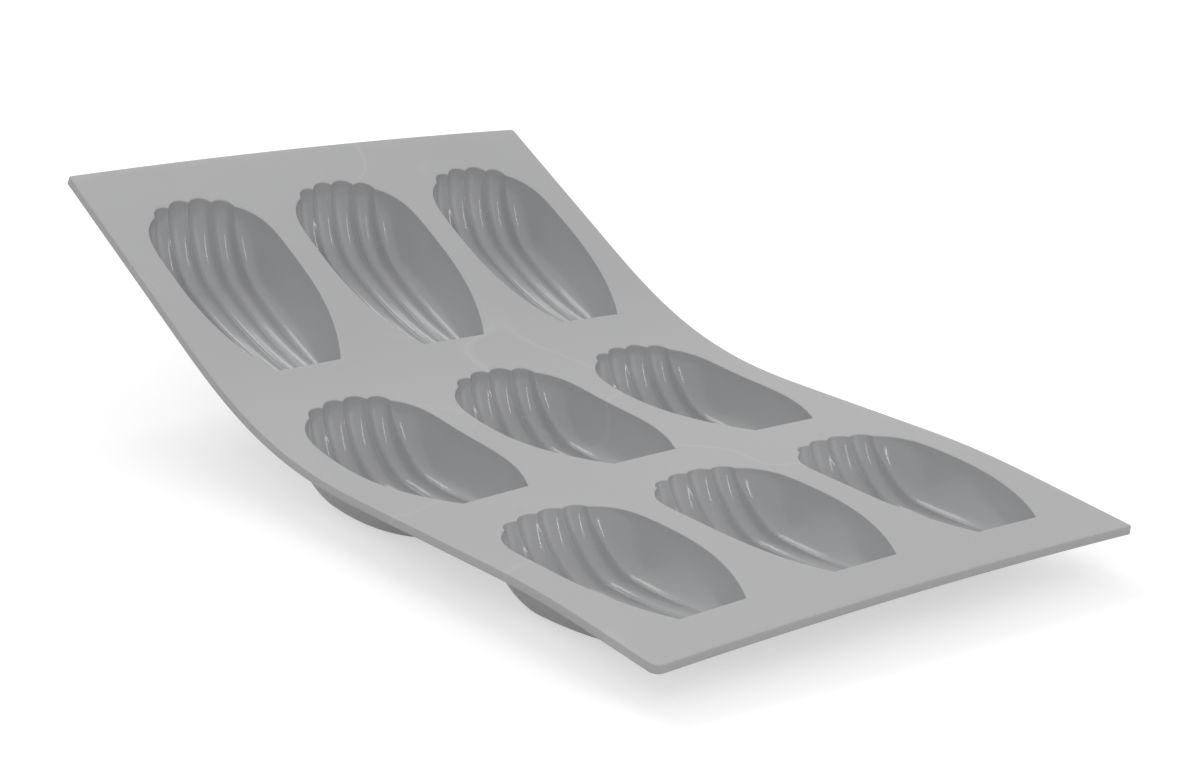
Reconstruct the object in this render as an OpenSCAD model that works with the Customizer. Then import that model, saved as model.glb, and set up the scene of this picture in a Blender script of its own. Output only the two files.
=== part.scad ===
// Flexible madeleine mould, moulded in one piece from silicone rubber.
// Nine scallop shell cups hang in a thin sheet, in three rows of three.
// The sheet is drawn as it lies, bent along its length into a shallow S:
// the front and middle rows rest on the table and the back row is raised.
// Each row is a stiff strip with its three cups, and a web between two rows
// is where the mould folds.
//
// Every shape is first worked out on the flat sheet as [x, s, h]: x across the
// sheet from its middle, s along it from the front edge, and h above its top.
// The function lay() then puts such a point on the bent sheet.

/* [Sheet] */
// Thickness of the sheet
sheet_t = 2.75; // [2:0.05:4]
// Front edge of the sheet to the cut end of the front cavities
front_margin = 17; // [12:0.5:24]
// Tips of the back cavities to the back edge of the sheet
back_margin = 17.2; // [12:0.1:24]
// Long edge of the sheet to the cavities beside it
side_margin = 10.8; // [6:0.1:20]

/* [Grid of cups] */
// Least distance between two cavities side by side
col_gap = 9.8; // [7:0.1:16]
// Tips of one row's cavities to the cut ends of the next
row_gap = 17.4; // [15:0.1:26]
// Length of the web that bends between two rows
web_l = 9; // [6:0.5:10]
// Slit between a web and the row that folds on it
web_gap = 0.3; // [0.2:0.05:0.6]

/* [Shell] */
// Width of a cavity at its cut end
cut_w = 23; // [16:0.5:30]
// Greatest width of a cavity
shell_w = 44.6; // [36:0.2:48]
// Cut end to where the middle ridge meets the rim
middle_ridge_end = 75.5; // [68:0.1:84]
// How far short of the middle ridge the inner ridges end
inner_ridge_back = 1.2; // [0:0.1:3]
// How far short of the middle ridge the outer ridges end
outer_ridge_back = 4.3; // [3:0.1:8]
// How far short of the middle ridge's end a cavity is widest
widest_back = 29.5; // [22:0.5:36]
// Middle of the cavity to an outer ridge, at the rim
outer_ridge_out = 14.6; // [12:0.2:17]
// Middle of the cavity to an inner ridge, at the rim
inner_ridge_out = 7.9; // [6:0.1:9]
// Distance between ridges at the cut end
ridge_foot = 4.75; // [3:0.05:5.2]
// How far each lobe of the rim bulges past its two ridges
lobe_out = 2; // [0.5:0.1:2.6]

/* [Depth] */
// Depth of the middle ridge's crest below the sheet's top
ridge_d = 16.2; // [10:0.2:20]
// How much shallower the outer ridges are
ridge_fall = 1.6; // [0:0.1:3]
// Depth of a flute below the ridges on its two sides
flute_d = 2; // [0.5:0.1:3]
// Depth at the cut end, as a share of the full depth
cut_share = 0.5; // [0.3:0.05:0.8]
// Lean of the cut end's wall, in mm for each mm of depth
cut_draft = 0.12; // [0:0.01:0.3]
// Thickness of a cup's wall
cup_wall = 2.2; // [1.4:0.1:2.6]

/* [Flex] */
// Slope of the sheet at its front edge, in degrees
front_angle = 4.7; // [-4:0.1:10]
// Slope that is lost along the front row, in degrees
drop_angle = 6; // [0:0.1:12]
// Length of sheet before that drop begins
before_drop_l = 30; // [10:1:60]
// Length that the drop is spread over
drop_l = 55; // [30:1:90]
// Slope that the back row gains, in degrees
lift_angle = 28; // [0:0.5:40]
// Length of sheet before that lift begins
before_lift_l = 130; // [100:1:160]
// Length that the lift is spread over
lift_l = 105; // [50:1:140]
// Turn of the bend's line away from the rows' line, in degrees
skew_angle = 4; // [-8:0.5:8]
// Rise of the front left and back right corners against the others
corner_twist = -1.7; // [-4:0.1:4]
// Rise of both long edges against the middle
side_rise = -1.7; // [-4:0.1:4]
// How deep the soft cups that carry the mould are pressed flat on the table
settle = 0.8; // [0.3:0.1:1.2]

/* [Hidden] */

silicone = [0.68, 0.68, 0.685];
rows = 3;
cols = 3;

// Steps that a flank, a lobe, the cavity's length and the sheet round it are drawn in
flank_steps = 4;
lobe_steps = 4;
length_steps = 10;
sheet_rings = 2;
web_steps = 3;
table_d = 10;
lobes = 4;
last_col = 2 * flank_steps + lobes * lobe_steps;
right_ridge = flank_steps + lobes * lobe_steps;
loop_n = last_col + 2 * length_steps + lobes * lobe_steps;

half_w = shell_w / 2;
shell_l = middle_ridge_end + lobe_out * 0.75;
col_pitch = shell_w + col_gap;
row_pitch = shell_l + row_gap;
sheet_w = shell_w + (cols - 1) * col_pitch + 2 * side_margin;
sheet_l = front_margin + shell_l + (rows - 1) * row_pitch + back_margin;
widest_at = middle_ridge_end - widest_back;
inner_ridge_end = middle_ridge_end - inner_ridge_back;
outer_ridge_end = middle_ridge_end - outer_ridge_back;
waist = 1 - cut_w / shell_w;
end_run = (outer_ridge_end - widest_at) / pow(1 - pow(outer_ridge_out / half_w, 2), 1 / 4);
cavity_d = ridge_d + flute_d;
ridge_ends = [[-outer_ridge_out, outer_ridge_end], [-inner_ridge_out, inner_ridge_end],
    [0, middle_ridge_end],
    [inner_ridge_out, inner_ridge_end], [outer_ridge_out, outer_ridge_end]];

// A web lies in the middle of the gap between one row's lobes and the next row's cut ends
web_mid = front_margin + (shell_l + row_pitch) / 2;
function row_start(r) = r == 0 ? 0 : web_mid + (r - 1) * row_pitch + web_l / 2;
function row_end(r) = r == rows - 1 ? sheet_l : web_mid + r * row_pitch - web_l / 2;
function cut_at(r) = front_margin + r * row_pitch;
function col_mid(c) = (c - 1) * col_pitch;

// The bend: the slope of the sheet along its length, and the curve that it adds up to
function ease(t) = let (c = max(0, min(1, t))) c * c * (3 - 2 * c);
function slope(s) = front_angle - drop_angle * ease((s - before_drop_l) / drop_l)
    + lift_angle * ease((s - before_lift_l) / lift_l);
over_run = 20;
step_l = 1;
curve_n = ceil((sheet_l + 2 * over_run) / step_l);
function step_at(i) = i * step_l - over_run;
function step_slope(i) = slope(step_at(i) + step_l / 2);
curve_y = [for (i = 0, y = 0; i <= curve_n; y = y + step_l * cos(step_slope(i)), i = i + 1)
    [step_at(i), y]];
curve_z = [for (i = 0, z = 0; i <= curve_n; z = z + step_l * sin(step_slope(i)), i = i + 1)
    [step_at(i), z]];

// A point [x, s, h] of the flat sheet, put on the bent one
function bent(p) = let (
    off = p[1] - sheet_l / 2,
    across = p[0] * cos(skew_angle) + off * sin(skew_angle),
    along = sheet_l / 2 - p[0] * sin(skew_angle) + off * cos(skew_angle),
    u = 2 * p[0] / sheet_w,
    v = 2 * off / sheet_l,
    h = p[2] + corner_twist * u * v + side_rise * u * u,
    y = lookup(along, curve_y) - h * sin(slope(along)),
    z = lookup(along, curve_z) + h * cos(slope(along))
    ) [across * cos(skew_angle) - y * sin(skew_angle), across * sin(skew_angle) + y * cos(skew_angle), z];

// The cavity's rim: its half width at a distance v from the cut end
function rim_w(v) = v < widest_at
    ? half_w * (1 - waist * pow((widest_at - v) / widest_at, 2.5))
    : half_w * sqrt(1 - pow((v - widest_at) / end_run, 4));

// Depth along a ridge as a share of its greatest, from the cut end (0) to the rim (1)
floor_end = 0.7;
floor_rise = 0.66;
function fall(t) = t < floor_end
    ? 1 - cut_share * pow(max(0, 1 - t / floor_rise), 1.9)
    : pow(max(0, 1 - pow((t - floor_end) / (1 - floor_end), 1.8)), 0.68);

// A lobe's surface. k is 0 to 4 from the left outer ridge to the right one.
function lobe_point(k, t, sharp) = let (
    n = min(lobes - 1, floor(k)),
    q = k - n,
    a = ridge_ends[n],
    b = ridge_ends[n + 1],
    swell = 4 * q * (1 - q),
    groove = sharp ? swell : pow(swell, 2),
    away = [a[1] - b[1], b[0] - a[0]] / norm(b - a),
    rim = a + (b - a) * q + away * lobe_out * swell,
    foot = (k - 2) * ridge_foot,
    depth = fall(t) * (ridge_d - ridge_fall * pow((k - 2) / 2, 2) + flute_d * groove * (1 + t) / 2)
    ) [foot + (rim[0] - foot) * t, rim[1] * t + cut_draft * depth * pow(1 - t, 3), depth];

// A flank's surface. e is 0 on the rim and 1 on the outer ridge.
function flank_point(side, e, t) = let (
    v = outer_ridge_end * t,
    ridge = 2 * ridge_foot + (outer_ridge_out - 2 * ridge_foot) * t,
    edge = t >= 1 ? ridge : max(rim_w(v), ridge),
    bowl = pow(1 - pow(1 - e, 2.2), 0.6),
    valley = 6.75 * e * e * (1 - e),
    depth = fall(t) * ((ridge_d - ridge_fall) * bowl + 0.6 * flute_d * valley)
    ) [side * (edge + (ridge - edge) * e), v + cut_draft * depth * pow(1 - t, 3), depth];

// The cavity's surface as a grid: i runs across it and j along it, and row -1 is the cut edge
function step_t(j) = 1 - pow(1 - j / length_steps, 1.5);
function step_e(i) = pow(i / flank_steps, 1.4);
function grid_point(i, j, sharp) =
    i < flank_steps ? flank_point(-1, step_e(i), step_t(j))
    : i > right_ridge ? flank_point(1, step_e(last_col - i), step_t(j))
    : lobe_point((i - flank_steps) / lobe_steps, step_t(j), sharp);
function cavity_point(i, j, sharp) = j < 0
    ? let (p = grid_point(i, 0, sharp)) [p[0], 0, 0]
    : grid_point(i, j, sharp);

// The outside of a cup is the cavity grown by the wall, from the sheet's underside down
grow_u = 1 + cup_wall / half_w;
grow_v = 1 + 2 * cup_wall / shell_l;
deepen = (cavity_d + cup_wall - sheet_t) / cavity_d;
function grown(p, depth) = [p[0] * grow_u, shell_l / 2 + (p[1] - shell_l / 2) * grow_v, depth];
function outer_point(i, j) = let (p = cavity_point(i, j, false)) grown(p, sheet_t + p[2] * deepen);

// The grid's points along the rim, counterclockwise from the left end of the cut edge
rim_loop = concat(
    [for (i = [0 : last_col]) [i, -1]],
    [for (j = [1 : length_steps]) [last_col, j]],
    [for (i = [right_ridge - 1 : -1 : flank_steps]) [i, length_steps]],
    [for (j = [length_steps - 1 : -1 : 1]) [0, j]]);
rim_flat = [for (g = rim_loop) cavity_point(g[0], g[1], true)];

// Many grid places fall on one point: the ends of the outer ridges and the cut corners
function one_place(i, j) =
    j == length_steps && i < flank_steps ? [flank_steps, j]
    : j == length_steps && i > right_ridge ? [right_ridge, j]
    : j == -1 && (i == 0 || i == last_col) ? [i, 0]
    : [i, j];
function grid_id(i, j) = let (g = one_place(i, j)) (g[1] + 1) * (last_col + 1) + g[0];
grid_n = (length_steps + 2) * (last_col + 1);
function split(a, b, c, d) = [for (f = [[a, b, c], [a, c, d]])
    if (f[0] != f[1] && f[1] != f[2] && f[0] != f[2]) f];

// Where the mould stands: the middle of its outline, on its lowest cups
edge_n = 30;
edge_points = concat(
    [for (x = [-1, 1], k = [0 : edge_n], h = [0, -sheet_t]) bent([x * sheet_w / 2, sheet_l * k / edge_n, h])],
    [for (s = [0, sheet_l], k = [0 : edge_n], h = [0, -sheet_t])
        bent([sheet_w * (k / edge_n - 0.5), s, h])]);
low_points = [for (r = [0, 1], c = [0 : cols - 1], i = [0 : last_col], j = [0 : length_steps])
    let (p = outer_point(i, j)) bent([col_mid(c) + p[0], cut_at(r) + p[1], -p[2]])[2]];
function middle(a) = (min(a) + max(a)) / 2;
stand = [middle([for (p = edge_points) p[0]]), middle([for (p = edge_points) p[1]]),
    min(low_points) + settle];
function lay(p) = bent(p) - stand;

// One cup: the cavity, the wall round it and the flange that closes the sheet's hole
module cup(row, col) {
    function on_sheet(p) = lay([col_mid(col) + p[0], cut_at(row) + p[1], -p[2]]);
    inner = [for (j = [-1 : length_steps], i = [0 : last_col]) on_sheet(cavity_point(i, j, true))];
    outer = [for (j = [-1 : length_steps], i = [0 : last_col]) on_sheet(outer_point(i, j))];
    flange = [for (p = rim_flat) on_sheet(grown(p, 0))];
    patches = [for (j = [-1 : length_steps - 1], i = [0 : last_col - 1])
        [grid_id(i, j), grid_id(i + 1, j), grid_id(i + 1, j + 1), grid_id(i, j + 1)]];
    rim = [for (g = rim_loop) grid_id(g[0], g[1])];
    faces = [
        for (p = patches) each split(p[0], p[3], p[2], p[1]),
        for (p = patches) each split(p[0] + grid_n, p[1] + grid_n, p[2] + grid_n, p[3] + grid_n),
        for (n = [0 : loop_n - 1]) let (m = (n + 1) % loop_n)
            each split(rim[n], rim[m], 2 * grid_n + m, 2 * grid_n + n),
        for (n = [0 : loop_n - 1]) let (m = (n + 1) % loop_n)
            each split(2 * grid_n + n, 2 * grid_n + m, rim[m] + grid_n, rim[n] + grid_n)];
    color(silicone) difference() {
        polyhedron(concat(inner, outer, flange), faces, convexity = 6);
        if (min([for (p = outer) p[2]]) < 0)
            translate([-sheet_w, -sheet_l, -table_d]) cube([2 * sheet_w, 2 * sheet_l, table_d]);
    }
}

// The sheet of one row: each cup's hole is joined to the cell round it by rings of faces
module row_sheet(row) {
    s0 = row_start(row);
    s1 = row_end(row);
    function left(col) = col == 0 ? -sheet_w / 2 : col_mid(col) - col_pitch / 2;
    function right(col) = col == cols - 1 ? sheet_w / 2 : col_mid(col) + col_pitch / 2;
    back_n = lobes * lobe_steps;
    function cell_edge(col, n) =
        n <= last_col ? [left(col) + (right(col) - left(col)) * n / last_col, s0]
        : n <= last_col + length_steps ? [right(col), s0 + (s1 - s0) * step_t(n - last_col)]
        : n <= loop_n - length_steps
            ? [right(col) - (right(col) - left(col)) * (n - last_col - length_steps) / back_n, s1]
        : [left(col), s0 + (s1 - s0) * step_t(loop_n - n)];
    function ring_point(col, ring, n) = let (
        p = grown(rim_flat[n], 0),
        hole = [col_mid(col) + p[0], cut_at(row) + p[1]],
        share = pow(ring / sheet_rings, 1.2)
        ) hole + (cell_edge(col, n) - hole) * share;
    ring_n = sheet_rings + 1;
    layer_n = cols * ring_n * loop_n;
    // a cell's left side is its neighbour's right side
    function id(col, ring, m) = let (n = m % loop_n, j = (loop_n - n) % loop_n)
        ring == sheet_rings && col > 0 && j <= length_steps
        ? ((col - 1) * ring_n + ring) * loop_n + last_col + j
        : (col * ring_n + ring) * loop_n + n;
    points = [for (h = [0, -sheet_t], col = [0 : cols - 1], ring = [0 : sheet_rings], n = [0 : loop_n - 1])
        let (p = ring_point(col, ring, n)) lay([p[0], p[1], h])];
    function outside(col, n) = n < last_col
        || (n >= last_col && n < last_col + length_steps && col == cols - 1)
        || (n >= last_col + length_steps && n < loop_n - length_steps)
        || (n >= loop_n - length_steps && col == 0);
    faces = [
        for (col = [0 : cols - 1], ring = [0 : sheet_rings - 1], n = [0 : loop_n - 1])
            each split(id(col, ring, n), id(col, ring, n + 1), id(col, ring + 1, n + 1), id(col, ring + 1, n)),
        for (col = [0 : cols - 1], ring = [0 : sheet_rings - 1], n = [0 : loop_n - 1])
            each split(layer_n + id(col, ring, n), layer_n + id(col, ring + 1, n),
                layer_n + id(col, ring + 1, n + 1), layer_n + id(col, ring, n + 1)),
        for (col = [0 : cols - 1], n = [0 : loop_n - 1])
            each split(id(col, 0, n), layer_n + id(col, 0, n), layer_n + id(col, 0, n + 1), id(col, 0, n + 1)),
        for (col = [0 : cols - 1], n = [0 : loop_n - 1]) if (outside(col, n))
            each split(id(col, sheet_rings, n), id(col, sheet_rings, n + 1),
                layer_n + id(col, sheet_rings, n + 1), layer_n + id(col, sheet_rings, n))];
    color(silicone) polyhedron(points, faces, convexity = 6);
}

// A web: a plain strip of the sheet from s0 to s1
module web(s0, s1) {
    across_n = cols * lobes * lobe_steps;
    row_n = across_n + 1;
    layer_n = row_n * (web_steps + 1);
    function id(i, j) = j * row_n + i;
    points = [for (h = [0, -sheet_t], j = [0 : web_steps], i = [0 : across_n])
        lay([sheet_w * (i / across_n - 0.5), s0 + (s1 - s0) * j / web_steps, h])];
    faces = [
        for (j = [0 : web_steps - 1], i = [0 : across_n - 1])
            each split(id(i, j), id(i, j + 1), id(i + 1, j + 1), id(i + 1, j)),
        for (j = [0 : web_steps - 1], i = [0 : across_n - 1])
            each split(layer_n + id(i, j), layer_n + id(i + 1, j),
                layer_n + id(i + 1, j + 1), layer_n + id(i, j + 1)),
        for (i = [0 : across_n - 1])
            each split(id(i, 0), id(i + 1, 0), layer_n + id(i + 1, 0), layer_n + id(i, 0)),
        for (i = [0 : across_n - 1])
            each split(id(i, web_steps), layer_n + id(i, web_steps),
                layer_n + id(i + 1, web_steps), id(i + 1, web_steps)),
        for (j = [0 : web_steps - 1])
            each split(id(0, j), layer_n + id(0, j), layer_n + id(0, j + 1), id(0, j + 1)),
        for (j = [0 : web_steps - 1])
            each split(id(across_n, j), id(across_n, j + 1),
                layer_n + id(across_n, j + 1), layer_n + id(across_n, j))];
    color(silicone) polyhedron(points, faces, convexity = 4);
}

// Each web is one with the middle row, and the slit is on the side of the row that folds
module front_web() web(row_end(0) + web_gap, row_start(1));
module back_web() web(row_end(1), row_start(2) - web_gap);

row_sheet(0);  // front_row_sheet
row_sheet(1);  // middle_row_sheet
row_sheet(2);  // back_row_sheet
front_web();
back_web();
cup(0, 0);  // front_left_cup
cup(0, 1);  // front_middle_cup
cup(0, 2);  // front_right_cup
cup(1, 0);  // middle_left_cup
cup(1, 1);  // middle_middle_cup
cup(1, 2);  // middle_right_cup
cup(2, 0);  // back_left_cup
cup(2, 1);  // back_middle_cup
cup(2, 2);  // back_right_cup
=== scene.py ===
"""A flexible silicone mould for nine shell cakes, as it lies bent on a pale studio floor.

Every point of the mould is first worked out on the flat sheet as x across it, s along it and
h above its top, and bent() then puts it on the bent sheet, so all the pieces share one bend.
A cavity has coordinates of its own before it is put on the sheet: u across it from its middle,
v along it from its cut end, and its depth.
"""
import math

import bpy
import numpy as np
from mathutils import Matrix, Vector

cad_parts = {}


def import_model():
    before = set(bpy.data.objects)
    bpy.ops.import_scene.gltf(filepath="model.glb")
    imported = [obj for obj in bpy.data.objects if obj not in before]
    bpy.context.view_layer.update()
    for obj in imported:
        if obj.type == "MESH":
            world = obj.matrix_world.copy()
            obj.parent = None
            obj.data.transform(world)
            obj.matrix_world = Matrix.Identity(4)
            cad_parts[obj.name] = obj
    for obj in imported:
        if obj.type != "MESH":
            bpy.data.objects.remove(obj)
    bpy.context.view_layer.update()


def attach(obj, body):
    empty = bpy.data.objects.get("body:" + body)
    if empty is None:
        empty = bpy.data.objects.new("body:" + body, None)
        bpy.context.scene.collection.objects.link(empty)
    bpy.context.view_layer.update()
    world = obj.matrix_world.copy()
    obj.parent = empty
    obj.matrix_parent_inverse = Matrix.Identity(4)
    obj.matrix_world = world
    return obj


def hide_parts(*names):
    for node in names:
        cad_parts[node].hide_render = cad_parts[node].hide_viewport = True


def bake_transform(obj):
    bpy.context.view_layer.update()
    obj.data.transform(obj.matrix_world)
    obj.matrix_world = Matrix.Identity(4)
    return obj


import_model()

# The sheet
MM = 0.001
SHEET_T = 2.75 * MM
FRONT_MARGIN = 17 * MM
BACK_MARGIN = 17.2 * MM
SIDE_MARGIN = 10.8 * MM
COL_GAP = 9.8 * MM
ROW_GAP = 17.4 * MM
WEB_L = 9 * MM
ROWS = ("front", "middle", "back")
COLS = ("left", "middle", "right")
WEBS = ("front_web", "back_web")
LAST_ROW = len(ROWS) - 1
LAST_COL = len(COLS) - 1

# A cavity in plan: its rim, its five ridges from their feet to their ends, and the lobes
# between them, whose tips reach about TIP_SHARE of LOBE_OUT beyond the middle ridge
CUT_W = 23 * MM
SHELL_W = 44.6 * MM
WIDEST_AT = 46 * MM
NARROWING_POWER = 2.5
ROUNDING_POWER = 4
RIDGE_ENDS = np.array([[-14.6, 71.2], [-7.9, 74.3], [0, 75.5], [7.9, 74.3], [14.6, 71.2]]) * MM
LOBES = len(RIDGE_ENDS) - 1
RIDGE_FOOT = 4.75 * MM
LOBE_OUT = 2 * MM
LOBE_POWER = 0.7
TIP_SHARE = 0.75

# Its depth along the ridges, with the places where the floor gets level and the end wall begins
RIDGE_D = 16.2 * MM
RIDGE_FALL = 1.6 * MM
CUT_SHARE = 0.5
CUT_DRAFT = 0.12
FLOOR_LEVEL_AT = 0.66
FLOOR_POWER = 1.9
END_WALL_SPAN = 0.3
END_WALL_AT = 1 - END_WALL_SPAN
END_WALL_POWERS = (1.8, 0.68)

# Flutes and flanks. Inside the cavity the flutes are deeper and fuller than on the outside, and
# VALLEY_SCALE is one over the greatest value of e^2 (1 - e)
CUP_WALL = 2.2 * MM
FLUTE_D = 2 * MM
FLUTE_POWER = 2
INNER_FLUTE_D = 2.8 * MM
INNER_FLUTE_POWER = 0.58
CREST_SOFT = 0.05
FLANK_POWER = 0.68
VALLEY_D = 2.2 * MM
VALLEY_SCALE = 27 / 4

# The bend, with its angles in degrees, and how far the lowest cups are pressed flat
FRONT_ANGLE = 4.7
DROP_ANGLE = 6
BEFORE_DROP_L = 30 * MM
DROP_L = 55 * MM
LIFT_ANGLE = 28
BEFORE_LIFT_L = 130 * MM
LIFT_L = 105 * MM
SKEW_ANGLE = 4
CORNER_TWIST = -1.7 * MM
SIDE_RISE = -1.7 * MM
SETTLE = 0.8 * MM

# Small roundings that the solids leave out
LIP_R = 0.3 * MM
UNDER_R = 1.5 * MM
FLANGE_W = CUP_WALL + UNDER_R
EDGE_R = 0.32 * MM
NEAR_CORNER_R = 3 * MM
CORNER_R = 0.8 * MM

# How many steps the surfaces are drawn in
FLANK_N = 24
LOBE_N = 20
LENGTH_N = 90
WALL_N = 8
ARC_N = 4
FLANGE_N = 3
RING_N = 8
WEB_N = 10
OUTLINE_N = 30

# How much the steps crowd: by a sine at both ends, or by a power towards one end
END_CROWD = 0.6
FLANK_CROWD = 1.7
LENGTH_CROWD = 1.5
RING_CROWD = 1.3

HALF_W = SHELL_W / 2
SHELL_L = RIDGE_ENDS[LOBES // 2, 1] + LOBE_OUT * TIP_SHARE
CAVITY_D = RIDGE_D + FLUTE_D
COL_PITCH = SHELL_W + COL_GAP
ROW_PITCH = SHELL_L + ROW_GAP
SHEET_W = SHELL_W + LAST_COL * COL_PITCH + 2 * SIDE_MARGIN
SHEET_L = FRONT_MARGIN + SHELL_L + LAST_ROW * ROW_PITCH + BACK_MARGIN
WEB_MID = FRONT_MARGIN + (SHELL_L + ROW_PITCH) / 2
RIGHT_RIDGE = FLANK_N + LOBES * LOBE_N
ACROSS_N = RIGHT_RIDGE + FLANK_N
RIM_N = ACROSS_N + 2 * LENGTH_N + LOBES * LOBE_N
ALONG_N = RIM_N // 2 - ACROSS_N


def row_start(row):
    """Where a row's strip begins along the sheet."""
    return 0 if row == 0 else WEB_MID + (row - 1) * ROW_PITCH + WEB_L / 2


def row_end(row):
    """Where a row's strip ends along the sheet."""
    return SHEET_L if row == LAST_ROW else WEB_MID + row * ROW_PITCH - WEB_L / 2


def cup_place(row, col):
    """The flat place of a cup's own origin, the middle of its cut edge."""
    return np.array([(col - LAST_COL / 2) * COL_PITCH, FRONT_MARGIN + row * ROW_PITCH, 0])


# Laying the flat sheet out in space


def ease(t):
    """Smooth step: 3 t^2 - 2 t^3 between 0 and 1."""
    t = np.clip(t, 0, 1)
    return t * t * (3 - 2 * t)


def slope(s):
    """The sheet's slope in radians at a distance s: a start value, less a drop, plus a lift,
    both smooth steps."""
    drop = DROP_ANGLE * ease((s - BEFORE_DROP_L) / DROP_L)
    lift = LIFT_ANGLE * ease((s - BEFORE_LIFT_L) / LIFT_L)
    return np.radians(FRONT_ANGLE - drop + lift)


# The curve along the sheet, as the sum of small steps in the slope's direction. It runs from
# before the front edge to past the back edge
CURVE_STEP = 0.2 * MM
OVER_RUN = 20 * MM
curve_s = np.arange(-OVER_RUN, SHEET_L + OVER_RUN, CURVE_STEP)
curve_mid = slope(curve_s[:-1] + CURVE_STEP / 2)
curve_y = np.append(0, np.cumsum(np.cos(curve_mid) * CURVE_STEP))
curve_z = np.append(0, np.cumsum(np.sin(curve_mid) * CURVE_STEP))


def bent(flat):
    """The flat point turned by the skew, carried along the curve, lifted by h along the curve's
    normal with the corners' twist and the edges' rise, and turned back by the skew."""
    x, s, h = flat[..., 0], flat[..., 1], flat[..., 2]
    cos_skew, sin_skew = math.cos(math.radians(SKEW_ANGLE)), math.sin(math.radians(SKEW_ANGLE))
    off = s - SHEET_L / 2
    across = x * cos_skew + off * sin_skew
    along = SHEET_L / 2 - x * sin_skew + off * cos_skew
    side = 2 * x / SHEET_W
    end = 2 * off / SHEET_L
    lift = h + CORNER_TWIST * side * end + SIDE_RISE * side * side
    y = np.interp(along, curve_s, curve_y) - lift * np.sin(slope(along))
    z = np.interp(along, curve_s, curve_z) + lift * np.cos(slope(along))
    return np.stack([across * cos_skew - y * sin_skew, across * sin_skew + y * cos_skew, z], -1)


def points(x, s, h):
    """Three numbers or arrays as one array of points."""
    return np.stack(np.broadcast_arrays(x, s, h), -1).astype(float)


def crowd(n):
    """n + 1 shares from 0 to 1 that crowd towards both ends: each less a sine of itself."""
    share = np.linspace(0, 1, n + 1)
    return share - END_CROWD * np.sin(2 * math.pi * share) / (2 * math.pi)


def between(start, end, steps, power=1.0):
    """Rows that run straight from one line of points to another, at a power of their share."""
    share = (np.linspace(0, 1, steps + 1) ** power)[:, None, None]
    return start + (end - start) * share


# The cavity's surface


def rim_w(v):
    """Half the rim's width at v: before the widest place it lacks the waist times a power of the
    way left, and past it, it is a quarter of a superellipse, of powers 2 and ROUNDING_POWER,
    that passes through the outer ridge's end."""
    waist = 1 - CUT_W / SHELL_W
    narrow = np.clip((WIDEST_AT - v) / WIDEST_AT, 0, 1)
    end_u, end_v = RIDGE_ENDS[-1]
    end_run = (end_v - WIDEST_AT) / (1 - (end_u / HALF_W) ** 2) ** (1 / ROUNDING_POWER)
    past = np.clip((v - WIDEST_AT) / end_run, 0, 1)
    rising = 1 - waist * narrow**NARROWING_POWER
    return HALF_W * np.where(v < WIDEST_AT, rising, np.sqrt(1 - past**ROUNDING_POWER))


def fall(t):
    """Depth along a ridge as a share of its greatest, from the cut end (0) to the rim (1):
    a power curve down to the level floor, and a superellipse up the end wall."""
    bed = 1 - CUT_SHARE * np.clip(1 - t / FLOOR_LEVEL_AT, 0, 1) ** FLOOR_POWER
    along, up = END_WALL_POWERS
    climbed = np.clip((t - END_WALL_AT) / END_WALL_SPAN, 0, 1)
    wall = np.clip(1 - climbed**along, 0, 1) ** up
    return np.where(t < END_WALL_AT, bed, wall)


def placed(u, v, depth, t):
    """Points of the cavity. The cut end's draft moves them in by a share of their depth, which
    fades out along the cavity as a cube."""
    return points(u, v + CUT_DRAFT * depth * (1 - t) ** 3, depth)


def soft(m):
    """A distance m from a ridge as a share of a lobe, rounded at the ridge as a hyperbola, and
    scaled so that the middle of the lobe stays at a half."""
    c = CREST_SOFT
    return 0.5 * (np.sqrt(m * m + c * c) - c) / (math.sqrt(0.25 + c * c) - c)


def lobes(k, t, inside):
    """The fluted part. k runs 0 to 4 over the ridges, and each ridge is a line from its foot to
    its end on the rim, shallower by a parabola to the sides. Between two ridges a parabola
    swells to 1: the rim stands out by a power of it, and the floor is deeper by another. On the
    outside of the wall that power is higher and the depth is less, so the flutes are softer."""
    n = np.minimum(LOBES - 1, np.floor(k)).astype(int)
    q = k - n
    m = soft(np.minimum(q, 1 - q))
    swell = 4 * m * (1 - m)
    groove = INNER_FLUTE_D * swell**INNER_FLUTE_POWER if inside else FLUTE_D * swell**FLUTE_POWER
    a, b = RIDGE_ENDS[n], RIDGE_ENDS[n + 1]
    away = np.stack([a[..., 1] - b[..., 1], b[..., 0] - a[..., 0]], -1)
    away /= np.linalg.norm(away, axis=-1, keepdims=True)
    rim = a + (b - a) * q[..., None] + away * (LOBE_OUT * swell**LOBE_POWER)[..., None]
    foot = (k - LOBES / 2) * RIDGE_FOOT
    ridge = RIDGE_D - RIDGE_FALL * (k / (LOBES / 2) - 1) ** 2
    depth = fall(t) * (ridge + groove * (1 + t) / 2)
    return placed(foot + (rim[..., 0] - foot) * t, rim[..., 1] * t, depth, t)


def flank(side, e, t):
    """A smooth flank. e runs from the rim (0) to the outer ridge (1): a bowl that is a power of
    a parabola, and a valley of e^2 (1 - e), scaled to a peak of 1 and rounded at the ridge as a
    hyperbola."""
    end_u, end_v = RIDGE_ENDS[-1]
    foot = RIDGE_FOOT * LOBES / 2
    ridge = foot + (end_u - foot) * t
    edge = np.where(t >= 1, ridge, np.maximum(rim_w(end_v * t), ridge))
    bowl = np.clip(1 - (1 - e) ** 2, 0, 1) ** FLANK_POWER
    near = np.sqrt((1 - e) ** 2 + CREST_SOFT**2) - CREST_SOFT
    valley = VALLEY_D * VALLEY_SCALE * e * e * near
    depth = fall(t) * ((RIDGE_D - RIDGE_FALL) * bowl + valley)
    return placed(side * (edge + (ridge - edge) * e), end_v * t, depth, t)


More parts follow.
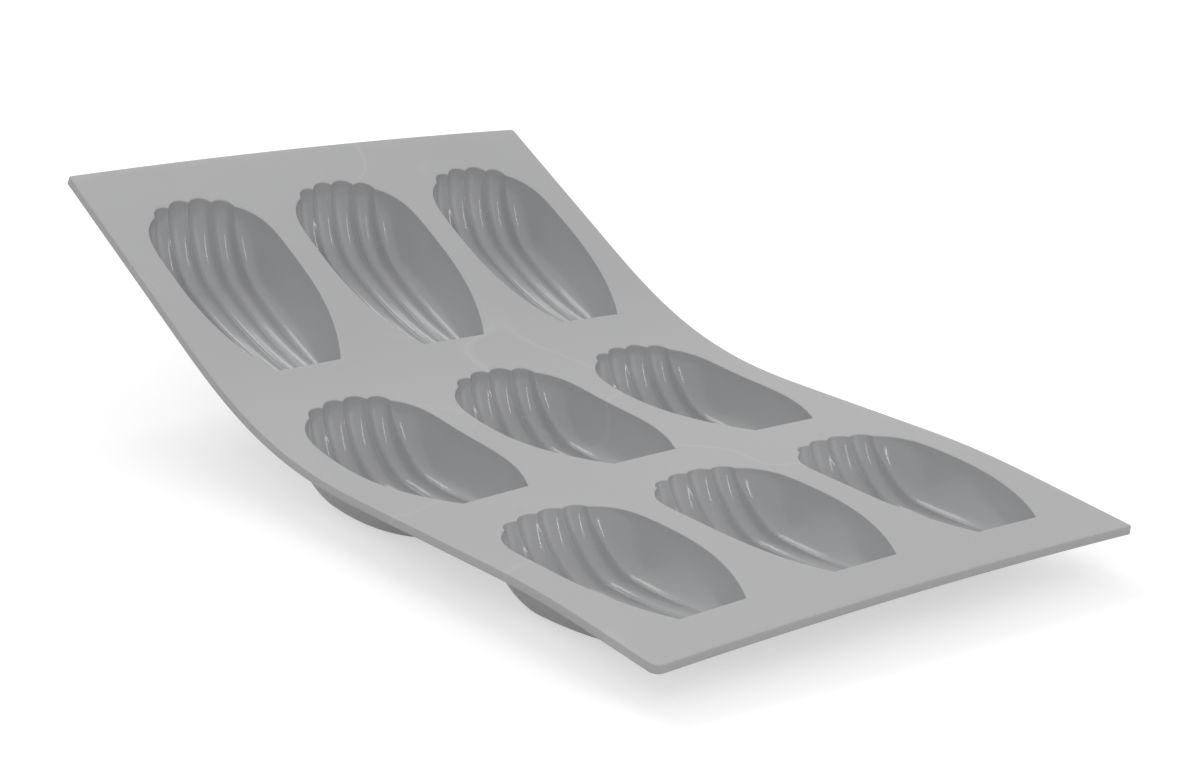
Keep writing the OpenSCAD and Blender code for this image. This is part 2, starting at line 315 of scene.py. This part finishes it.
def shell(inside):
    """The cavity, or the same for the outside, as a grid of [u, v, depth]: columns across it,
    and rows first down the wall at the cut end and then along the floor to the tips."""
    e = (np.arange(FLANK_N) / FLANK_N) ** FLANK_CROWD
    k = np.append((np.arange(LOBES)[:, None] + crowd(LOBE_N)[:-1]).ravel(), LOBES)
    t = 1 - (1 - np.arange(LENGTH_N + 1) / LENGTH_N) ** LENGTH_CROWD
    flank_e, flank_t = np.meshgrid(e, t)
    lobe_k, lobe_t = np.meshgrid(k, t)
    left, right = flank(-1, flank_e, flank_t), flank(1, flank_e, flank_t)[:, ::-1]
    bed = np.concatenate([left, lobes(lobe_k, lobe_t, inside), right], 1)
    down = (np.arange(WALL_N) / WALL_N)[:, None, None]
    keeps_u = np.array([True, False, False])
    cut_wall = bed[:1] * np.where(keeps_u, 1, down)
    return rounded_foot(np.concatenate([cut_wall, bed], 0))


def rounded_foot(grid, passes=6, full=2, reach=6):
    """Rounds the corner between the cut end's wall and the floor: rows up to `full` away from it
    move half way to the mean of their two neighbours, a few times over, rows further away move
    less, by a smooth step, and rows beyond `reach` stay."""
    away = abs(np.arange(len(grid)) - WALL_N)
    weight = 0.5 * ease((reach - away) / (reach - full))[1:-1, None, None]
    for _ in range(passes):
        mean = (grid[:-2] + grid[2:]) / 2
        grid[1:-1] += weight * (mean - grid[1:-1])
    return grid


def grown(grid, wall):
    """The cavity's plan grown by a wall's thickness, as a stretch about its middle."""
    out = grid.copy()
    out[..., 0] *= 1 + wall / HALF_W
    out[..., 1] = SHELL_L / 2 + (grid[..., 1] - SHELL_L / 2) * (1 + 2 * wall / SHELL_L)
    return out


def cup_outside():
    """The outside of a cup's wall, with its depth below the sheet's underside: the plan is grown
    by the wall, and the depth is stretched to reach a wall's thickness below a cavity with the
    same soft flutes. The cavity's own are deeper, so the wall is thinner under them."""
    grid = grown(shell(inside=False), CUP_WALL)
    grid[..., 2] *= (CAVITY_D + CUP_WALL - SHEET_T) / CAVITY_D
    return grid


def round_the_rim(grid):
    """A grid's points along the rim, counterclockwise from the left end of the cut edge. The few
    points that the rounded foot draws along the rim there are left out, so the faces on its two
    sides stay up to 0.0042 mm apart beside the ends of the cut edge."""
    right = grid[WALL_N + 1 :, -1]
    tips = grid[-1, FLANK_N:RIGHT_RIDGE][::-1]
    left = grid[WALL_N + 1 : -1, 0][::-1]
    return np.concatenate([grid[0], right, tips, left])


def outward(loop, passes=20):
    """Unit normals in plan, away from the cavity: the loop's own, averaged with their
    neighbours so that the lip's rings don't cross at the points between two lobes."""
    ahead = np.roll(loop, -1, 0) - np.roll(loop, 1, 0)
    normal = np.stack([ahead[:, 1], -ahead[:, 0]], 1)
    normal /= np.linalg.norm(normal, axis=1, keepdims=True)
    for _ in range(passes):
        normal = (np.roll(normal, 1, 0) + 2 * normal + np.roll(normal, -1, 0)) / 4
    return normal / np.linalg.norm(normal, axis=1, keepdims=True)


def from_start(depth, start):
    """Depths that begin at a start value instead of 0: depth + start * exp(-depth / start)."""
    return depth + start * np.exp(-depth / start)


# How the mould stands: over the middle of its outline, with its lowest cups pressed flat

edge_share = np.linspace(0, 1, OUTLINE_N + 1)
edges = [points(side * SHEET_W, SHEET_L * edge_share, h) for side in (-0.5, 0.5) for h in (0, -SHEET_T)]
edges += [points(SHEET_W * (edge_share - 0.5), s, h) for s in (0, SHEET_L) for h in (0, -SHEET_T)]
outline = bent(np.concatenate(edges))
below = cup_outside()
below[..., 2] = -SHEET_T - below[..., 2]
cups_that_may_touch = [cup_place(row, col) for row in (0, 1) for col in range(len(COLS))]
stand = (outline.min(0) + outline.max(0)) / 2
stand[2] = min(bent(below + place)[..., 2].min() for place in cups_that_may_touch) + SETTLE


# From grids to meshes


def patch(grid, ring=False, turned=False):
    """One part of a mesh: its grid, whether the last column joins the first, and whether the
    faces are turned round so that they point outwards."""
    return grid, ring, turned


def quads(rows, cols, ring, turned):
    """Corner numbers of a grid's faces."""
    number = np.arange(rows * cols).reshape(rows, cols)
    if ring:
        number = np.concatenate([number, number[:, :1]], 1)
    a, b, c, d = number[:-1, :-1], number[:-1, 1:], number[1:, 1:], number[1:, :-1]
    corners = (a, d, c, b) if turned else (a, b, c, d)
    return np.stack([corner.ravel() for corner in corners], 1)


def add_object(name, data):
    """A new object in the scene."""
    made = bpy.data.objects.new(name, data)
    bpy.context.scene.collection.objects.link(made)
    return made


def build(name, patches, origin=(0, 0, 0), cavity_first=False):
    """Makes one mesh of patches round a flat origin and puts it on the bent sheet. Points
    that meet are welded, faces that shrank to a line are dropped, and every vertex keeps two
    attributes: its flat place, and a cavity mask for its gloss and its painted shade, which is 1
    on the first patch where that is a cavity, and 0 elsewhere."""
    weld = 2e-7
    sharp_angle = math.radians(40)
    flats, faces, count = [], [], 0
    for grid, ring, turned in patches:
        flats.append(grid.reshape(-1, 3) + origin)
        faces.append(quads(grid.shape[0], grid.shape[1], ring, turned) + count)
        count += len(flats[-1])
    flat = np.concatenate(flats)
    polish_and_shade = np.zeros(len(flat), np.float32)
    if cavity_first:
        polish_and_shade[: len(flats[0])] = 1
    spots = np.round(flat / weld).astype(np.int64)
    _, first, number = np.unique(spots, axis=0, return_index=True, return_inverse=True)
    corners = number.ravel()[np.concatenate(faces)]
    doubled = corners == np.roll(corners, -1, 1)
    whole = corners[~doubled.any(1)]
    once = doubled.sum(1) == 1
    triangles = corners[once][~doubled[once]].reshape(-1, 3)
    place = bent(flat[first]) - stand
    place[:, 2] = np.maximum(place[:, 2], 0)
    mesh = bpy.data.meshes.new(name)
    mesh.from_pydata(place.tolist(), [], whole.tolist() + triangles.tolist())
    flat_place = mesh.attributes.new("flat_place", "FLOAT_VECTOR", "POINT")
    flat_place.data.foreach_set("vector", flat[first].astype(np.float32).ravel())
    # The mask gives the cavities both their real gloss and their painted shade
    polish_and_shade_attribute = mesh.attributes.new("polish_and_shade", "FLOAT", "POINT")
    polish_and_shade_attribute.data.foreach_set("value", polish_and_shade[first])
    mesh.shade_smooth()
    mesh.set_sharp_from_angle(angle=sharp_angle)
    mesh.update()
    return add_object(name, mesh)


# The pieces


def cup(row, col):
    """One cup: the cavity, a lip that is a quarter round, a flange in the sheet, a fillet below
    it that is another, and the outside of the wall. It is closed but for four very thin slits,
    at both ends of the cut edge, inside and outside, as round_the_rim() says."""
    inside = shell(inside=True)
    inside[..., 2] = -from_start(inside[..., 2], LIP_R)
    rim = round_the_rim(inside)
    away = outward(rim[:, :2])
    turn = np.linspace(0, math.pi / 2, ARC_N + 1)[:, None]
    out = LIP_R * (1 - np.cos(turn))
    lip = points(rim[:, 0] + out * away[:, 0], rim[:, 1] + out * away[:, 1], LIP_R * (np.sin(turn) - 1))
    hole = grown(rim, FLANGE_W)
    hole[:, 2] = 0
    outside = cup_outside()
    outside[..., 2] = -SHEET_T - from_start(outside[..., 2], UNDER_R)
    foot = round_the_rim(outside)
    fillet = hole + (foot - hole) * np.sin(turn)[..., None]
    fillet[..., 2] = -SHEET_T - UNDER_R * (1 - np.cos(turn))
    patches = [
        patch(inside),
        patch(lip, ring=True, turned=True),
        patch(between(lip[-1], hole, FLANGE_N), ring=True, turned=True),
        patch(between(hole, hole - [0, 0, SHEET_T], 1), ring=True, turned=True),
        patch(fillet, ring=True, turned=True),
        patch(outside, turned=True)]
    return build(f"{ROWS[row]}_{COLS[col]}_cup_moulding", patches, cup_place(row, col), cavity_first=True)


def edge_profile():
    """The sheet's edge as (how far in, height): a quarter round, a straight side and another."""
    turn = np.linspace(0, math.pi / 2, ARC_N + 1)
    top = np.stack([EDGE_R * (1 - np.sin(turn)), EDGE_R * (np.cos(turn) - 1)], 1)
    low = np.stack([top[::-1, 0], -SHEET_T - top[::-1, 1]], 1)
    return np.concatenate([top, low])


def cell_side(col, inset):
    """x of the left and right side of a cell, the part of the sheet round one cup, drawn in
    where it is the edge of the sheet."""
    off = col - LAST_COL / 2
    left = -SHEET_W / 2 + inset if col == 0 else (off - 0.5) * COL_PITCH
    right = SHEET_W / 2 - inset if col == LAST_COL else (off + 0.5) * COL_PITCH
    return left, right


def round_corner(loop, x, s, radius):
    """Points in the corner's square, beyond its arc's centre, are put on the arc. The smallest
    reach only keeps a point at the centre from a division by zero."""
    smallest = 1e-9
    middle = np.array([x - math.copysign(radius, x), s + math.copysign(radius, SHEET_L / 2 - s)])
    off = loop[:, :2] - middle
    beyond = (off[:, 0] * x > 0) & (off[:, 1] * (s - SHEET_L / 2) > 0)
    reach = np.maximum(np.linalg.norm(off, axis=1), smallest)
    loop[beyond, :2] = (middle + off / reach[:, None] * radius)[beyond]
    return loop


def cell_loop(row, col, inset):
    """A cell's outline, with as many points as a rim, counterclockwise from its front left
    corner. Sides on the sheet's edge are drawn in by the inset, and the sheet's own corners
    are round."""
    left, right = cell_side(col, inset)
    front = row_start(row) + (inset if row == 0 else 0)
    back = row_end(row) - (inset if row == LAST_ROW else 0)
    across, along = crowd(ACROSS_N)[:-1], crowd(ALONG_N)[:-1]
    loop = np.concatenate([
        points(left + (right - left) * across, front, 0),
        points(right, front + (back - front) * along, 0),
        points(right - (right - left) * across, back, 0),
        points(left, back - (back - front) * along, 0)])
    if row in (0, LAST_ROW) and col in (0, LAST_COL):
        x = left if col == 0 else right
        s = front if row == 0 else back
        radius = NEAR_CORNER_R if row == 0 and col == 0 else CORNER_R
        loop = round_corner(loop, x, s, radius - inset)
    return loop


def row_sheet(row):
    """A row's strip of the sheet: rings from each cup's flange out to its cell's outline, on
    the top and the underside, and the edge all round the strip."""
    rim = round_the_rim(shell(inside=True))
    rim[:, 2] = 0
    hole = grown(rim, FLANGE_W)
    under = np.array([0, 0, -SHEET_T])
    right_side, back_side, left_side = np.cumsum([ACROSS_N, ALONG_N, ACROSS_N])
    patches = []
    for col in range(len(COLS)):
        inner = hole + cup_place(row, col)
        top = between(inner, cell_loop(row, col, EDGE_R), RING_N, RING_CROWD)
        patches.append(patch(top, ring=True, turned=True))
        patches.append(patch(top + under, ring=True))
        patches.append(patch(between(inner, inner + under, 1), ring=True))
        edge = np.stack([cell_loop(row, col, inset) + [0, 0, h] for inset, h in edge_profile()])
        spans = [(0, right_side), (back_side, left_side)]
        if col == LAST_COL:
            spans.append((right_side, back_side))
        if col == 0:
            spans.append((left_side, RIM_N))
        for start, end in spans:
            patches.append(patch(edge[:, np.arange(start, end + 1) % RIM_N], turned=True))
    return build(f"{ROWS[row]}_row_sheet_moulding", patches)


def web(row):
    """The plain strip after a row: one closed section, which follows the edge's profile on both
    sides, carried straight along the sheet, and its two ends."""
    start, end = row_end(row), row_start(row + 1)
    across = crowd(ACROSS_N)[:-1]
    lines = []
    for inset, height in edge_profile():
        sides = [cell_side(col, inset) for col in range(len(COLS))]
        x = np.concatenate([left + (right - left) * across for left, right in sides] + [sides[-1][1:]])
        lines.append(np.stack([x, np.full(len(x), height)], 1))
    lines = np.array(lines)
    section = np.concatenate([lines[0], lines[1:-1, -1], lines[-1, ::-1], lines[-2:0:-1, 0]])
    steps = np.linspace(start, end, WEB_N + 1)[:, None]
    patches = [
        patch(points(section[:, 0], steps, section[:, 1]), ring=True),
        patch(points(lines[..., 0], start, lines[..., 1]), turned=True),
        patch(points(lines[..., 0], end, lines[..., 1]))]
    return build(f"{WEBS[row]}_moulding", patches)


# Nodes as Python expressions


class Value:
    """A shader socket that takes part in Python sums. Each operator adds a Math node."""

    def __init__(self, graph, socket):
        self.graph = graph
        self.socket = socket

    def math(self, operation, *others, clamp=False):
        """This value and others through one Math node of that operation."""
        settings = {"operation": operation, "use_clamp": clamp}
        return self.graph.node("ShaderNodeMath", settings, dict(enumerate((self, *others))))

    def __add__(self, other):
        return self.math("ADD", other)

    def __sub__(self, other):
        return self.math("SUBTRACT", other)

    def __mul__(self, other):
        return self.math("MULTIPLY", other)

    def __rsub__(self, other):
        return self * -1 + other

    __radd__ = __add__
    __rmul__ = __mul__


class Graph:
    """The nodes of a material or of the world. node() adds any node."""

    def __init__(self, owner):
        owner.use_nodes = True
        self.tree = owner.node_tree
        self.tree.nodes.clear()

    def node(self, kind, settings=None, values=None, output=0):
        """A node of that type, with its settings first and then the numbers or links of its
        sockets. Gives back one of its outputs, if it has any."""
        made = self.tree.nodes.new(kind)
        for key, value in (settings or {}).items():
            setattr(made, key, value)
        for key, value in (values or {}).items():
            if isinstance(value, Value):
                self.tree.links.new(value.socket, made.inputs[key])
            else:
                made.inputs[key].default_value = value
        return Value(self, made.outputs[output]) if made.outputs else made

    def noise(self, place, scale, detail, roughness=0.5):
        """A noise from 0 to 1, whose scale is how many patches of it go to a metre."""
        values = {"Vector": place, "Scale": scale, "Detail": detail, "Roughness": roughness}
        return self.node("ShaderNodeTexNoise", {}, values)

    def mixed(self, share, first, second):
        """A colour between two. The node keeps its colours in sockets 6 and 7 and gives them
        back in output 2."""
        values = {0: share, 6: first, 7: second}
        return self.node("ShaderNodeMix", {"data_type": "RGBA"}, values, output=2)


# The material: its four tones, the last of which is painted shade that darkens the cavities, how strongly
# the last two show, its gloss and its grain

SHEET_DARK = (0.408, 0.409, 0.416, 1)
SHEET_LIGHT = (0.438, 0.439, 0.446, 1)
FLOW_TONE = (0.48, 0.481, 0.487, 1)
# Painted shade: the cavities' darker grey stands in for the shade inside them
CAVITY_SHADE_TONE = (0.345, 0.350, 0.356, 1)
FLOW_SHARE = 0.6
CAVITY_SHADE_SHARE = 0.35
SHEET_ROUGHNESS = 0.40
POLISH_GLOSS = 0.31
CLOUD_ROUGHNESS = 0.05
GRAIN_ROUGHNESS = 0.06
GRAIN_LEFT_OUT = 0.9
GRAIN_STRENGTH = 0.05
GRAIN_HEIGHT = 0.4 * MM


def flow_lines(g, place):
    """Faint lines where streams of rubber met as the mould was made: a narrow peak where a noise
    is one half, shown only in the regions where a coarser noise is high."""
    sharpness, region_gain, region_start = 100, 12, 5.8
    flow = g.noise(place, scale=16.0, detail=1.0)
    region = g.noise(place, scale=9.0, detail=0.0)
    line = (1 - (flow - 0.5).math("ABSOLUTE") * sharpness).math("MAXIMUM", 0)
    return line * (region * region_gain - region_start).math("MAXIMUM", 0, clamp=True)


def silicone():
    """Satin grey silicone. Its tone has soft clouds and a few pale flow lines, and its surface a
    fine moulded grain. In the cavities, which polished cores have formed, it is glossy, with
    hardly any grain, and its tone is darkened there as painted shade."""
    material = bpy.data.materials.new("satin_grey_silicone")
    g = Graph(material)
    polish_and_shade = g.node("ShaderNodeAttribute", {"attribute_name": "polish_and_shade"}, output="Fac")
    place = g.node("ShaderNodeAttribute", {"attribute_name": "flat_place"}, output="Vector")
    cloud = g.noise(place, scale=22.0, detail=3.0)
    grain = g.noise(place, scale=1500.0, detail=2.0, roughness=0.6)
    sheet_tone = g.mixed(cloud, SHEET_DARK, SHEET_LIGHT)
    lined_tone = g.mixed(flow_lines(g, place) * FLOW_SHARE, sheet_tone, FLOW_TONE)
    # Painted shade: the cavities' tone is mixed towards a darker grey
    tone = g.mixed(polish_and_shade * CAVITY_SHADE_SHARE, lined_tone, CAVITY_SHADE_TONE)
    texture = cloud * CLOUD_ROUGHNESS + grain * GRAIN_ROUGHNESS
    roughness = texture + SHEET_ROUGHNESS - polish_and_shade * POLISH_GLOSS
    bump = g.node("ShaderNodeBump", {}, {
        "Height": grain * (1 - polish_and_shade * GRAIN_LEFT_OUT),
        "Strength": GRAIN_STRENGTH, "Distance": GRAIN_HEIGHT})
    surface = g.node("ShaderNodeBsdfPrincipled", {}, {
        "Base Color": tone, "Roughness": roughness, "IOR": 1.42, "Normal": bump})
    g.node("ShaderNodeOutputMaterial", {}, {"Surface": surface})
    return material


# The stage: floor, world, lamps and camera

WHITE = (1, 1, 1, 1)
FLOOR_GREY = (0.6, 0.6, 0.6, 1)
FLOOR_GLOW = 0.55
FLOOR_REACH = 6.0
WORLD_LEVEL = 0.64
LAMP_DISTANCE = 1.5


def seen(g):
    """1 for the rays that show the surround: from the camera, off a gloss or through a clear
    body. 0 for the rays that only gather its light."""
    kinds = ("Is Camera Ray", "Is Glossy Ray", "Is Transmission Ray")
    camera_ray, glossy, through = [g.node("ShaderNodeLightPath", output=kind) for kind in kinds]
    return (camera_ray + glossy).math("ADD", through, clamp=True)


def floor():
    """A pale floor that keeps the mould's shadow. A glow for the rays that show it makes it
    read as white."""
    mesh = bpy.data.meshes.new("floor")
    near, far = -FLOOR_REACH, FLOOR_REACH
    mesh.from_pydata([(near, near, 0), (far, near, 0), (far, far, 0), (near, far, 0)], [], [(0, 1, 2, 3)])
    material = bpy.data.materials.new("pale_floor")
    g = Graph(material)
    matt = g.node("ShaderNodeBsdfDiffuse", {}, {"Color": FLOOR_GREY})
    glow = g.node("ShaderNodeEmission", {}, {"Color": WHITE, "Strength": seen(g) * FLOOR_GLOW})
    both = g.node("ShaderNodeAddShader", {}, {0: matt, 1: glow})
    g.node("ShaderNodeOutputMaterial", {}, {"Surface": both})
    mesh.materials.append(material)
    piece = add_object("floor", mesh)


def world():
    """An even surround, which is plain white to the rays that show it."""
    surround = bpy.data.worlds.new("white_surround")
    g = Graph(surround)
    strength = seen(g) * (1 - WORLD_LEVEL) + WORLD_LEVEL
    back = g.node("ShaderNodeBackground", {}, {"Color": WHITE, "Strength": strength})
    g.node("ShaderNodeOutputWorld", {}, {"Surface": back})
    bpy.context.scene.world = surround


def direction(azimuth, elevation):
    """The unit vector towards a place round the mould. Azimuth 0 is in front of it."""
    a, e = math.radians(azimuth), math.radians(elevation)
    return Vector((math.sin(a) * math.cos(e), -math.cos(a) * math.cos(e), math.sin(e)))


def lamp(name, azimuth, elevation, wide, tall, watts):
    """A soft oblong lamp that looks at the mould from a direction."""
    data = bpy.data.lights.new(name, "AREA")
    data.shape = "RECTANGLE"
    data.size = wide
    data.size_y = tall
    data.energy = watts
    back = direction(azimuth, elevation)
    made = add_object(name, data)
    made.location = back * LAMP_DISTANCE
    made.rotation_mode = "QUATERNION"
    made.rotation_quaternion = (-back).to_track_quat("-Z", "Y")


def camera():
    """A long lens on the near front corner, with the small roll that the photograph has."""
    aim = Vector((6.8, -4.6, 32.3)) * MM
    distance = 1062 * MM
    roll = math.radians(2.50)
    back = direction(azimuth=-39.70, elevation=18.52)
    level = Vector((0, 0, 1)).cross(back).normalized()
    upright = back.cross(level)
    right = level * math.cos(roll) + upright * math.sin(roll)
    up = upright * math.cos(roll) - level * math.sin(roll)
    data = bpy.data.cameras.new("camera")
    data.sensor_width = 36
    data.lens = 107.32
    data.clip_start = 0.05
    data.clip_end = 50
    made = add_object("camera", data)
    turned = Matrix((right, up, back)).transposed().to_4x4()
    made.matrix_world = Matrix.Translation(aim + back * distance) @ turned
    bpy.context.scene.camera = made


# Putting it together


def stand_in(piece, node, finish):
    """Gives a piece its finish and lets it stand for a node of the model."""
    piece.data.materials.append(finish)
    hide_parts(node)


def main():
    """Makes the mould's 14 pieces and the stage."""
    finish = silicone()
    for row, row_name in enumerate(ROWS):
        strip = row_sheet(row)
        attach(strip, f"{row_name}_row")
        stand_in(strip, f"{row_name}_row_sheet", finish)
        for col, col_name in enumerate(COLS):
            piece = cup(row, col)
            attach(piece, f"{row_name}_row")
            stand_in(piece, f"{row_name}_{col_name}_cup", finish)
    for row, web_name in enumerate(WEBS):
        strip = web(row)
        ends = [bent(points(0.0, s, -SHEET_T / 2)) - stand for s in (row_end(row), row_start(row + 1))]
        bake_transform(strip)
        stand_in(strip, web_name, finish)
    floor()
    world()
    lamp("back_softbox", azimuth=180, elevation=52, wide=0.6, tall=0.6, watts=3.7)
    lamp("right_softbox", azimuth=35, elevation=22, wide=0.9, tall=0.9, watts=2.0)
    lamp("rim_softbox", azimuth=140, elevation=50, wide=0.3, tall=0.3, watts=1.0)
    lamp("strip_lamp", azimuth=-47, elevation=32, wide=0.05, tall=0.8, watts=3.2)
    camera()
    bpy.context.scene.view_settings.view_transform = "Standard"


main()
